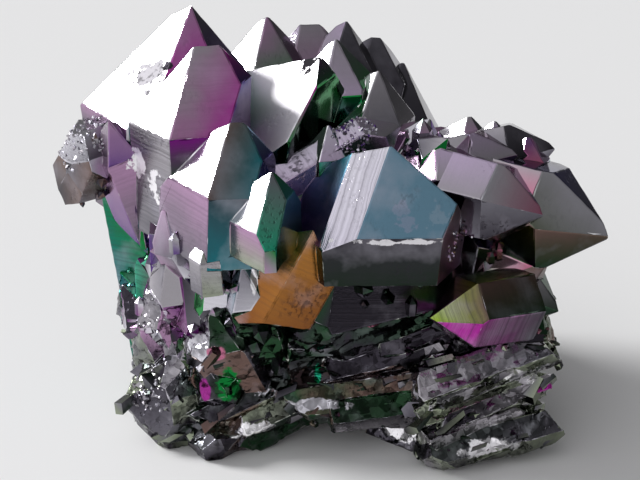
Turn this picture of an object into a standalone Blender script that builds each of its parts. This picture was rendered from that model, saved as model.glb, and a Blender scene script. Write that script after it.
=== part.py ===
"""A titanium aura quartz cluster, about 77 mm wide, modelled as the one piece that it grew as.

Quartz points stand and lie on a base of broken crystals. Each one starts as a block, is cut by the
flat faces that such a crystal has, and is joined to the others in one solid with a flat cut underside.
Places and sizes are in millimetres for a cluster that is about WIDTH wide, and MM turns them into metres.
+X is the right of the show side, +Y is the back and +Z is up. The origin lies on the flat underside.
"""

import math
import random

import bmesh
import bpy
from mathutils import Matrix, Vector

# The places below are drawn for a cluster this wide. Another width scales all of them.
LAYOUT_WIDTH = 77.0
WIDTH = 77.0
MM = 0.001 * WIDTH / LAYOUT_WIDTH
NODE = "aura_quartz"
COATED_GREY = (0.42, 0.40, 0.46, 1.0)

# A quartz crystal has six sides. Its end faces lie 38.2 degrees off its long axis, above the sides.
SIDES = 6
SIDE_STEP = math.radians(360 / SIDES)
END_FACE_TILT = math.radians(38.2)
# A real point never closes in one spot: its end faces stand this far apart, as shares of its size.
END_SPREAD = (0.0, 0.02, 0.11, 0.17, 0.07, 0.13)
# How fast a point narrows, in degrees, unless its own line says otherwise.
TAPER = 1.5
CUT_SLACK = 1e-6

UPRIGHT = (0, 0, 1)
RIGHTWARDS = (0.87, -0.49, -0.04)
# The brightest end faces all look this way, because those points grew parallel to each other.
SHINE = (-0.59, -0.52, 0.62)
RIGHT_SHINE = (-0.3, -0.66, 0.7)

# The points of the show side. Each has its tip, the way it points, its length, the way its first end
# face looks, how far its sides lie from its axis, and how far each end face lies out from the tip,
# which makes a chisel edge. Six numbers go round from the first face, anticlockwise from above.
# Taper is in degrees, and a point with less than none narrows to its root. A shaved ridge has the way
# that the cut faces and its depth.
POINTS = {
    "tall_back": dict(tip=(-18, 5, 58.5), points=(0.08, 0, 1), length=30, sides=(13.5, 10, 8, 9, 10, 16),
                      ends=(0, 0, 0.5, 1, 1, 2), taper=-8),
    "tall_front": dict(tip=(-17, -3, 55.5), points=UPRIGHT, length=26, sides=(8, 8, 7, 7, 8, 8.5),
                       ends=(0, 0, 3.5, 3.5, 0.5, 0.3), taper=-2),
    "inner_left": dict(tip=(-11.9, -11, 47.7), points=(0.04, 0, 1), length=18, sides=(5.8, 6, 5, 6, 7, 9),
                       ends=(0, 0, 2, 2, 0.5, 1.5)),
    "tall_middle": dict(tip=(-1, 1, 53), points=(0.15, -0.2, 0.96), length=30, sides=(15, 9, 3, 6, 9, 11),
                        ends=(0, 2.8, 1.5, 1.5, 0, 8)),
    "inner_middle": dict(tip=(-6.4, -16.2, 42.8), points=UPRIGHT, length=11, sides=(4.6, 6, 2.5, 5, 6, 5.6),
                         ends=(0, 0, 0.4, 1, 0.5, 3)),
    "middle_shard": dict(tip=(1, -3, 44.5), points=UPRIGHT, length=20, sides=3),
    "broad_front": dict(tip=(6, -9, 43.5), points=UPRIGHT, length=17, looks=(-0.674, -0.405, 0.62),
                        sides=(10, 8.6, 13.5, 13, 9, 12), ends=(0, 0, 9, 3.5, 0.5, 7.5), taper=-6,
                        shaved=((-0.31, -0.67, 0.67), 1.0)),
    "behind_front": dict(tip=(11, 1, 43), points=(0.85, 0.3, 0.42), length=24,
                         looks=(-0.2, -0.7, 0.7), sides=(4, 2.2, 4, 4, 4, 4)),
    "right_end": dict(tip=(39, -9, 31), points=RIGHTWARDS, length=34, looks=RIGHT_SHINE,
                      sides=(7, 6, 6, 8, 8, 7)),
    "right_front": dict(tip=(29.5, -12, 35.5), points=RIGHTWARDS, length=13,
                        looks=(-0.3, -0.5, 0.8), sides=5),
    "right_back": dict(tip=(33, 3, 39), points=(0.9, -0.1, 0.25), length=26, looks=RIGHT_SHINE, sides=4.5),
    "right_tooth": dict(tip=(29, 2, 41), points=UPRIGHT, length=14, sides=3.2, ends=(0, 0, 0.5, 0.7, 0, 2)),
    "right_upper": dict(tip=(27, -2, 40), points=(0.9, -0.3, 0.3), length=24, looks=RIGHT_SHINE, sides=4),
    "right_inner": dict(tip=(22, -7, 40.5), points=(0.8, -0.4, 0.45), length=16, looks=RIGHT_SHINE,
                        sides=3.8),
    "right_ridge": dict(tip=(21, 6, 42.6), points=UPRIGHT, length=22, sides=4.2,
                        ends=(0, 0, 0.5, 0.7, 0, 3.5)),
    "right_blade": dict(tip=(24.5, 4, 42.4), points=UPRIGHT, length=20, sides=(2.5, 3, 4, 3, 3, 3)),
    "top_back": dict(tip=(-8, 14, 54.5), points=(0, 0.1, 1), length=38, sides=6.5),
    "top_ridge": dict(tip=(-3, 17, 52.5), points=(0, 0.15, 1), length=34, sides=5.5,
                      ends=(0, 0, 3, 3, 0.5, 0.3)),
    "top_middle": dict(tip=(2, 10, 52.5), points=UPRIGHT, length=34, sides=5),
    "top_right": dict(tip=(3.5, 17, 53), points=(0.1, 0.2, 1), length=36, sides=6),
    "shoulder_top": dict(tip=(7.5, 19, 50), points=(0.1, 0.25, 1), length=34, sides=6,
                         ends=(0, 0, 1.5, 3, 0.5, 1)),
    "shoulder_back": dict(tip=(12, 19, 46), points=(0.2, 0.3, 0.9), length=30, sides=7),
    "shoulder_middle": dict(tip=(8, 8, 48.5), points=(0.1, 0, 1), length=30, sides=5.5),
    "shoulder_front": dict(tip=(15, 2, 43.5), points=(0.3, 0, 0.95), length=26, sides=5),
    "left_spur": dict(tip=(-29, -3, 45), points=(-0.25, -0.2, 0.9), length=22, sides=3.5),
    "left_tooth": dict(tip=(-15, -16, 34), points=(-0.05, -0.1, 1), length=8, sides=2.2),
    "low_right": dict(tip=(15, -18, 23), points=(-0.8, -0.45, 0.1), length=15,
                      looks=(-0.2, -0.8, 0.6), sides=4.3),
    "low_middle": dict(tip=(26, -16, 22), points=(0.5, -0.8, 0.2), length=16,
                       looks=(-0.3, -0.5, 0.8), sides=3.5),
    "low_outer": dict(tip=(33, -10, 20), points=(0.8, -0.6, -0.1), length=18,
                      looks=(-0.3, -0.5, 0.8), sides=4),
    "back_high_left": dict(tip=(-17, 19, 43), points=(-0.3, 0.6, 0.8), length=24, sides=5.5),
    "back_high_right": dict(tip=(17, 20, 36), points=(0.4, 0.7, 0.6), length=24, sides=5),
    "back_left_end": dict(tip=(-28, 12, 36), points=(-0.7, 0.5, 0.5), length=24, sides=5),
    "back_middle_big": dict(tip=(-4, 24, 35), points=(-0.1, 0.85, 0.5), length=24, sides=6.5),
    "back_low": dict(tip=(8, 24, 24), points=(0.2, 0.9, 0.3), length=22, sides=5.5),
    "back_right_end": dict(tip=(29, 13, 26), points=(0.8, 0.5, 0.3), length=22, sides=5),
    "back_low_left": dict(tip=(-22, 19, 22), points=(-0.6, 0.75, 0.3), length=22, sides=5),
    "low_end": dict(tip=(31, -9, 27), points=(0.7, -0.5, 0.5), length=22, looks=(-0.4, -0.6, 0.6), sides=5),
}

# Broken crystals in the base: where they start and end, how far their sides lie from the axis, and the
# way that one of their sides faces.
BROKEN = {
    "gold": dict(start=(-8, -12, 21), end=(-4, -10, 28), side=6.5, faces=(-0.6, -0.8, -0.1)),
    "left_flank": dict(start=(-21, 0, 4), end=(-26, 3, 42), side=6, faces=(-0.6, -0.8, 0)),
    "left_middle": dict(start=(-17, -4, 4), end=(-17, -4, 32), side=7, faces=(-0.5, -0.85, 0)),
    "left_foot": dict(start=(-19, -6, -3), end=(-17, -4, 18), side=7.5, faces=(-0.3, -0.95, 0)),
    "right_wall": dict(start=(21, 3, 2), end=(24, -1, 28), side=8, faces=(0.3, -0.9, 0)),
    "back_left": dict(start=(-18, 9, 2), end=(-10, 10, 34), side=8, faces=(-0.5, 0.85, 0)),
    "back_middle": dict(start=(-8, 10, 6), end=(20, 9, 16), side=8, faces=(0, 0.8, 0.6)),
}

# A broken crystal's sides lie unevenly from its axis, by shares of its size, and its ends are slanted cuts.
BROKEN_SIDES = (0.8, 1.05)
END_CUTS = 3
END_SLANT = 0.7
END_OUT = 0.5

# Bundles of thin broken crystals that lie side by side in the base: where the first one starts and ends,
# how far off the last one lies, their number and how far their sides lie from the axis.
BUNDLES = (
    dict(start=(-14, -11, 9), end=(9, -3, 18), across=(-1, -4, -8), number=5, side=3.0),
    dict(start=(-2, -11, 13), end=(22, -6, 16), across=(1, -4, -7), number=5, side=3.0),
    dict(start=(13, -15, 10), end=(27.5, -9, 12), across=(2, -5, -8), number=6, side=2.8),
    dict(start=(10, -9, 15), end=(30, -5, 14), across=(0, 8, 2), number=4, side=2.8),
    dict(start=(-25, -2, 6), end=(-14, -14, 3), across=(1, -1, -4), number=3, side=3.0),
    dict(start=(-20, 13, 4), end=(12, 17, 9), across=(3, 1, 8), number=4, side=3.4),
    dict(start=(30, -6, 4), end=(16, 14, 8), across=(-1, 0, 8), number=4, side=3.4),
)

# How unevenly they lie: along the bundle as a share of their length, aside in millimetres, and in size.
BUNDLE_SLIDE = 0.13
BUNDLE_BEND = 1.8
BUNDLE_SIZES = (0.8, 1.2)
BUNDLE_TURN = 0.4
BUNDLE_LIFT = (0.2, 1.0)

# Rings of small points: their height, how far they reach along X and Y, the compass degrees from which
# and to which they stand, their number, their size and how steeply they point up.
CRUST = (
    dict(height=31, reach=(25, 15), compass=(205, 250), number=5, size=3.4, lift=2.0),
    dict(height=25, reach=(26, 16), compass=(195, 250), number=6, size=3.8, lift=1.8),
    dict(height=18, reach=(26, 16), compass=(185, 245), number=7, size=4.2, lift=1.5),
    dict(height=11, reach=(26, 16), compass=(140, 240), number=8, size=4.0, lift=0.9),
    dict(height=34, reach=(22, 15), compass=(30, 165), number=8, size=4.4, lift=1.0),
    dict(height=24, reach=(26, 19), compass=(10, 170), number=10, size=4.6, lift=0.6),
    dict(height=14, reach=(27, 20), compass=(0, 165), number=9, size=4.2, lift=0.3),
    dict(height=21, reach=(30, 14), compass=(-35, 20), number=5, size=3.2, lift=0.2),
    dict(height=40, reach=(20, 6), compass=(-50, 80), number=7, size=2.8, lift=1.2),
)
CRUST_LENGTH = 16
# How unevenly they stand: across their share of the ring, in height, in direction and in size.
CRUST_SPREAD = (0.1, 0.9)
CRUST_RISE = 3.0
CRUST_TURN = 0.3
CRUST_SIDES = (0.75, 1.25)
CRUST_OUT = (0.2, 1.2)

# The rough mass under the crystals.
MASS = {
    "core": dict(centre=(0, 1, 20), size=(25, 14, 19), facets=40, seed=3),
    "knob": dict(centre=(-31.5, 1, 38), size=(4.8, 5, 5.2), facets=26, seed=4),
    "foot": dict(centre=(-20.8, -9, 5), size=(5, 6.5, 8), facets=26, seed=6),
    "base_left": dict(centre=(-11, -1, 5), size=(13, 11, 9), facets=40, seed=5),
    "base_middle": dict(centre=(2, 2, 5), size=(10, 11, 9), facets=30, seed=2),
    "base_right": dict(centre=(19, -2, 6), size=(12, 12, 9), facets=40, seed=8),
}
FLOOR_CUT = (200, 200, 40)


def cut_away(mesh, point, normal):
    """Cuts a convex mesh along a plane, drops what lies beyond it and closes the cut with one face."""
    everything = mesh.verts[:] + mesh.edges[:] + mesh.faces[:]
    cut = bmesh.ops.bisect_plane(mesh, geom=everything, dist=CUT_SLACK, plane_co=point, plane_no=normal,
                                 clear_outer=True)
    rim = [part for part in cut["geom_cut"] if isinstance(part, bmesh.types.BMEdge)]
    if rim:
        bmesh.ops.contextual_create(mesh, geom=rim)


def block(start, axis, length, width):
    """A square bar that starts at a place and runs along an axis."""
    mesh = bmesh.new()
    turn = Vector((0, 0, 1)).rotation_difference(axis).to_matrix().to_4x4()
    place = Matrix.Translation((start + axis * length / 2) * MM) @ turn
    stretch = Matrix.Diagonal((width * MM, width * MM, length * MM, 1))
    bmesh.ops.create_cube(mesh, size=1.0, matrix=place @ stretch)
    return mesh


def solid(name, mesh):
    """An object that holds a finished mesh."""
    bmesh.ops.recalc_face_normals(mesh, faces=mesh.faces)
    data = bpy.data.meshes.new(name)
    mesh.to_mesh(data)
    mesh.free()
    return bpy.data.objects.new(name, data)


def side_directions(axis, looks):
    """The six ways that a crystal's sides face, the first one nearest to the way that it looks."""
    first = Vector(looks)
    first = (first - axis * first.dot(axis)).normalized()
    return [Matrix.Rotation(SIDE_STEP * number, 3, axis) @ first for number in range(SIDES)]


def quartz_point(name, tip, points, length, sides, looks=SHINE, ends=None, taper=TAPER, shaved=None):
    """A quartz point: six sides and six end faces, cut from a bar."""
    tip, axis = Vector(tip), Vector(points).normalized()
    reach = sides if isinstance(sides, tuple) else (sides,) * SIDES
    spread = ends or tuple(share * max(reach) for share in END_SPREAD)
    mesh = block(tip - axis * length, axis, length + max(reach), 4 * max(reach))
    lean = math.tan(math.radians(taper))
    for way, distance, out in zip(side_directions(axis, looks), reach, spread):
        cut_away(mesh, (tip + way * distance) * MM, way + axis * lean)
        cut_away(mesh, (tip + way * out) * MM, way * math.cos(END_FACE_TILT) + axis * math.sin(END_FACE_TILT))
    if shaved:
        way, depth = Vector(shaved[0]).normalized(), shaved[1]
        cut_away(mesh, (tip - way * depth) * MM, way)
    return solid(name, mesh)


def broken_crystal(name, start, end, side, faces, chance):
    """A lying crystal with uneven sides, broken off at both ends."""
    start, end = Vector(start), Vector(end)
    axis = (end - start).normalized()
    mesh = block(start - axis * side, axis, (end - start).length + 2 * side, 4 * side)
    for way in side_directions(axis, faces):
        cut_away(mesh, (start + way * side * chance.uniform(*BROKEN_SIDES)) * MM, way)
    for place, outward in ((start, -axis), (end, axis)):
        for _ in range(END_CUTS):
            slant = Vector([chance.uniform(-END_SLANT, END_SLANT) for _ in range(3)])
            cut_away(mesh, (place + outward * side * END_OUT) * MM, outward + slant)
    return solid(name, mesh)


def bundle(name, chance, start, end, across, number, side):
    """Thin broken crystals that lie side by side and end unevenly."""
    start, end, across = Vector(start), Vector(end), Vector(across)
    lying = []
    for step in range(number):
        aside = across * step / (number - 1)
        slide = (end - start) * chance.uniform(-BUNDLE_SLIDE, BUNDLE_SLIDE)
        bend = Vector([chance.uniform(-BUNDLE_BEND, BUNDLE_BEND) for _ in range(3)])
        faces = (chance.uniform(-BUNDLE_TURN, BUNDLE_TURN), -1, chance.uniform(*BUNDLE_LIFT))
        lying.append(broken_crystal(f"{name}_{step}", start + aside + slide, end + aside + slide + bend,
                                    side * chance.uniform(*BUNDLE_SIZES), faces, chance))
    return lying


def crust_ring(name, chance, height, reach, compass, number, size, lift):
    """Small quartz points that stand out in a ring round the cluster."""
    first, last = compass
    ring = []
    for step in range(number):
        angle = math.radians(first + (last - first) * (step + chance.uniform(*CRUST_SPREAD)) / number)
        out = Vector((math.cos(angle), math.sin(angle), 0))
        place = Vector((out.x * reach[0], out.y * reach[1], height + chance.uniform(-CRUST_RISE, CRUST_RISE)))
        turn = [chance.uniform(-CRUST_TURN, CRUST_TURN) for _ in range(2)]
        points = out + Vector((*turn, lift))
        sides = tuple(size * chance.uniform(*CRUST_SIDES) for _ in range(SIDES))
        tip = place + points.normalized() * size * chance.uniform(*CRUST_OUT)
        ring.append(quartz_point(f"{name}_{step}", tip, points, CRUST_LENGTH, sides))
    return ring


def rough_block(name, centre, size, facets, seed):
    """An angular block: an ellipsoid's outline cut by random planes."""
    chance = random.Random(seed)
    centre, size = Vector(centre), Vector(size)
    mesh = block(centre - Vector((0, 0, size.z * 2)), Vector((0, 0, 1)), size.z * 4, size.x * 4)
    for _ in range(facets):
        way = Vector([chance.gauss(0, 1) for _ in range(3)]).normalized()
        cut_away(mesh, (centre + way * size) * MM, Vector([w / s for w, s in zip(way, size)]))
    return solid(name, mesh)


def build_pieces():
    """Every crystal and block, each a closed convex object, before they are joined."""
    chance = random.Random(11)
    pieces = [quartz_point(name, **shape) for name, shape in POINTS.items()]
    pieces += [broken_crystal(name, chance=chance, **shape) for name, shape in BROKEN.items()]
    for number, stack in enumerate(BUNDLES):
        pieces += bundle(f"bundle_{number}", chance, **stack)
    for number, ring in enumerate(CRUST):
        pieces += crust_ring(f"crust_{number}", chance, **ring)
    return [rough_block(name, **shape) for name, shape in MASS.items()] + pieces


def floor_cutter():
    """The block that cuts the cluster off flat at the height of the ground."""
    mesh = bmesh.new()
    bmesh.ops.create_cube(mesh, size=1.0, matrix=Matrix.Diagonal((*FLOOR_CUT, 1)))
    bmesh.ops.translate(mesh, verts=mesh.verts, vec=(0, 0, -FLOOR_CUT[2] / 2))
    bmesh.ops.scale(mesh, verts=mesh.verts, vec=(MM, MM, MM))
    return solid("floor_cutter", mesh)


def helper_collection(name, objects):
    """A collection of objects that only shape another one."""
    helpers = bpy.data.collections.new(name)
    bpy.context.scene.collection.children.link(helpers)
    for helper in objects:
        helper.hide_render = True
        helper.display_type = "WIRE"
        helpers.objects.link(helper)
    return helpers


def coated_quartz():
    """The dark silver of quartz under its metal film."""
    material = bpy.data.materials.new("coated_quartz")
    material.use_nodes = True
    finish = material.node_tree.nodes["Principled BSDF"]
    finish.inputs["Base Color"].default_value = COATED_GREY
    finish.inputs["Metallic"].default_value = 0.9
    finish.inputs["Roughness"].default_value = 0.25
    return material


def fill_pockets(mesh):
    """Fills the sealed pockets inside a joined mesh: only its largest shell stays."""
    left, shells = set(mesh.verts), []
    while left:
        shell, edge_of_shell = set(), [left.pop()]
        while edge_of_shell:
            vert = edge_of_shell.pop()
            shell.add(vert)
            near = {edge.other_vert(vert) for edge in vert.link_edges} & left
            left -= near
            edge_of_shell.extend(near)
        shells.append(shell)
    shells.sort(key=len)
    for shell in shells[:-1]:
        bmesh.ops.delete(mesh, geom=list(shell), context="VERTS")


def join_crystals(core, crystals):
    """Joins the crystals to the core, cuts the whole off flat and leaves it as the core's own mesh."""
    join = core.modifiers.new("join", "BOOLEAN")
    join.operation = "UNION"
    join.operand_type = "COLLECTION"
    join.collection = helper_collection("crystals", crystals)
    flat = core.modifiers.new("flat", "BOOLEAN")
    flat.operation = "DIFFERENCE"
    flat.object = floor_cutter()
    helper_collection("cutters", [flat.object])

    bpy.context.view_layer.update()
    view = bpy.context.evaluated_depsgraph_get()
    mesh = bmesh.new()
    mesh.from_mesh(core.evaluated_get(view).to_mesh())
    fill_pockets(mesh)
    core.modifiers.clear()
    mesh.to_mesh(core.data)
    mesh.free()


def main():
    """Builds the cluster: its crystals joined to its core, and the whole cut off flat."""
    for old in list(bpy.data.objects):
        bpy.data.objects.remove(old)
    model = bpy.data.collections.new("titanium_aura_quartz")
    bpy.context.scene.collection.children.link(model)
    core, *crystals = build_pieces()
    core.name = NODE
    core.data.materials.append(coated_quartz())
    model.objects.link(core)
    join_crystals(core, crystals)


if __name__ == "__main__":
    main()
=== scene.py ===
"""The finish of a titanium aura quartz cluster: its film, growth lines, chipped ridges and small crystals,
with painted shade and painted highlights in the film's colour.

The cluster's own solid is the frame. Its skin is a copy of that solid whose ridges are chipped and whose
broken base has a fine relief. Small points, splinters and sugary patches grow on it. Every facet gets its
own film colour. Places are in millimetres in the frame's axes: +X right of the show side, +Y back, +Z up.
"""

from __future__ import annotations

import logging
import math
import random
from bisect import bisect
from collections.abc import Callable
from dataclasses import dataclass, field
from enum import Enum
from itertools import accumulate

import bmesh
import bpy
from mathutils import Matrix, Vector, noise
from mathutils.bvhtree import BVHTree

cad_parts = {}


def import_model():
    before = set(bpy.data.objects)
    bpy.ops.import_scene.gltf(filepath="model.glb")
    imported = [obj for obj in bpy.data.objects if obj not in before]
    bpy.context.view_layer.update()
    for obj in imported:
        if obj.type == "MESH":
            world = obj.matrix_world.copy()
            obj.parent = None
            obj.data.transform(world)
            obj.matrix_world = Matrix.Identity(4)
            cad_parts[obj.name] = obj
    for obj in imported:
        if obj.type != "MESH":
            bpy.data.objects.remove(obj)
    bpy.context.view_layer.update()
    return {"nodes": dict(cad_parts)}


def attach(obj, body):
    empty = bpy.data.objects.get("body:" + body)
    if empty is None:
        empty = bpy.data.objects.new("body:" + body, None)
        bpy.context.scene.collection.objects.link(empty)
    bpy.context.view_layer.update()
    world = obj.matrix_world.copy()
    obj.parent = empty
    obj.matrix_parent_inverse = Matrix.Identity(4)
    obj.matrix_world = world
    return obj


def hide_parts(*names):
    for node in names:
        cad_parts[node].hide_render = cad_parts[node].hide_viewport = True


LOG = logging.getLogger("aura_quartz")
MM = 0.001
NODE = "aura_quartz"
BODY = "root"

# A quartz crystal has six sides. Its end faces lie 38.2 degrees off its long axis.
SIDES = 6
SHARD_SIDES = (4, 5, 6)
END_FACE_TILT = math.radians(38.2)
UPRIGHT = (0.0, 0.0, 1.0)
RIGHTWARDS = (0.87, -0.49, -0.04)
COMMON_AXIS = (0.1, 0.15, 1.0)
# The way that the bright end faces look, at the left and at the right.
SHINE = (-0.59, -0.52, 0.62)
RIGHT_SHINE = (-0.3, -0.66, 0.7)
# The ledges of the base rise to the right.
LEDGES = (0.93, 0.2, 0.3)
MERGE, TINY = 1e-3, 1e-6
ABOVE_CUT = 0.05

VALUE, COLOUR, VECTOR = "NodeSocketFloat", "NodeSocketColor", "NodeSocketVector"

Numbers = tuple[float, ...]
Materials = list[bpy.types.Material]
Mesh = bmesh.types.BMesh
Socket = bpy.types.NodeSocket


def linear(red: int, green: int, blue: int) -> Numbers:
    """A screen colour from 0 to 255 as the linear colour that a shader takes."""
    return tuple((value / 255) ** 2.2 for value in (red, green, blue)) + (1.0,)


class Tint(Enum):
    """The colours of the metal film, as a maker would name them. Soot, black-green and the other dark tints
    also serve as painted shade where they are chosen for hollows, undersides, pits and growth lines.
    """

    SILVER = linear(245, 243, 247)
    PALE = linear(215, 213, 222)
    FROST = linear(205, 200, 215)
    GREY = linear(160, 156, 162)
    MOSS = linear(140, 148, 128)
    SLATE = linear(108, 106, 114)
    SOOT = linear(58, 55, 62)
    BLACK_GREEN = linear(40, 50, 42)
    LILAC = linear(190, 172, 200)
    MAUVE = linear(165, 130, 162)
    MAGENTA = linear(180, 55, 160)
    PLUM = linear(105, 35, 110)
    PURPLE = linear(92, 62, 130)
    INDIGO = linear(52, 44, 108)
    STEEL_BLUE = linear(105, 140, 160)
    TEAL = linear(38, 112, 122)
    SEA_GREEN = linear(40, 160, 125)
    GREEN = linear(28, 120, 58)
    DARK_GREEN = linear(44, 72, 50)
    LIME = linear(150, 178, 60)
    GOLD = linear(176, 122, 62)
    ORANGE = linear(132, 82, 48)
    ROSE = linear(195, 115, 145)
    BROWN = linear(108, 88, 82)


(SILVER, PALE, FROST, GREY, MOSS, SLATE, SOOT, BLACK_GREEN, LILAC, MAUVE, MAGENTA, PLUM, PURPLE, INDIGO,
 STEEL_BLUE, TEAL, SEA_GREEN, GREEN, DARK_GREEN, LIME, GOLD, ORANGE, ROSE, BROWN) = Tint


@dataclass(frozen=True)
class Film:
    """The metal film on one facet: two tints, the way from the first to the second, and its marks.

    The growth lines cross the crystal, or with `upright` they run along it.
    """

    near: Tint
    far: Tint | None = None
    toward: Numbers = (0.0, 0.0, -1.0)
    gloss: float = 0.07
    lines: float = 0.05
    pits: float = 0.15
    upright: bool = False


WHITE = Film(SILVER, gloss=0.1, lines=0.0, pits=0.12)


@dataclass(frozen=True)
class Crystal:
    """A crystal of the cluster: its tip, the way it points, and the films of the faces that have their own.

    A face is named by a letter, e for an end face and s for a side, and its number. They are counted from the
    one that looks as `looks` says, anticlockwise from above. `rest` is the film of its other faces. The sides
    lean by `taper`, in degrees. The first two end faces pass the tip by no more than `slack`, the others by
    up to `end_room` of the reach, and the sides by the shares of the reach in `side_room`.
    """

    tip: Numbers
    films: dict[str, Film]
    points: Numbers = UPRIGHT
    looks: Numbers = SHINE
    length: float = 30.0
    reach: float = 10.0
    band: Numbers | None = None
    rest: Film | None = None
    taper: float = 0.0
    slack: float = 0.6
    behind: float = 0.3
    end_room: float = 0.8
    side_room: Numbers = (0.15, 1.6)

    def axis(self) -> Vector:
        """The crystal's long axis."""
        return Vector(self.points).normalized()

    def face_ways(self) -> dict[str, Vector]:
        """The way that each face looks.

        Returns:
            Unit vectors by face name.
        """
        axis, first = self.axis(), Vector(self.looks)
        first = (first - axis * first.dot(axis)).normalized()
        ways = {"band": Vector(self.band).normalized()} if self.band else {}
        for number in range(SIDES):
            side = Matrix.Rotation(math.radians(360 / SIDES) * number, 3, axis) @ first
            ways[f"s{number}"] = side * math.cos(math.radians(self.taper)) \
                + axis * math.sin(math.radians(self.taper))
            ways[f"e{number}"] = side * math.cos(END_FACE_TILT) + axis * math.sin(END_FACE_TILT)
        return ways

    def distance(self, place: Vector) -> float:
        """How far a place lies from the crystal's axis, as a share of its reach; large outside its length."""
        down = (Vector(self.tip) - place).dot(self.axis())
        if not -self.reach < down < self.length + self.reach:
            return math.inf
        return ((Vector(self.tip) - place) - self.axis() * down).length / self.reach

    def could_hold(self, name: str, way: Vector, place: Vector) -> bool:
        """Whether a face of this name and way can lie at a place, by how far its plane passes the tip."""
        out = (place - Vector(self.tip)).dot(way)
        if name in ("e0", "e1"):
            return abs(out) < self.slack
        if name[0] == "e":
            return -self.behind < out < self.end_room * self.reach
        least, most = self.side_room
        return least * self.reach < out < most * self.reach or name == "band"


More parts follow.
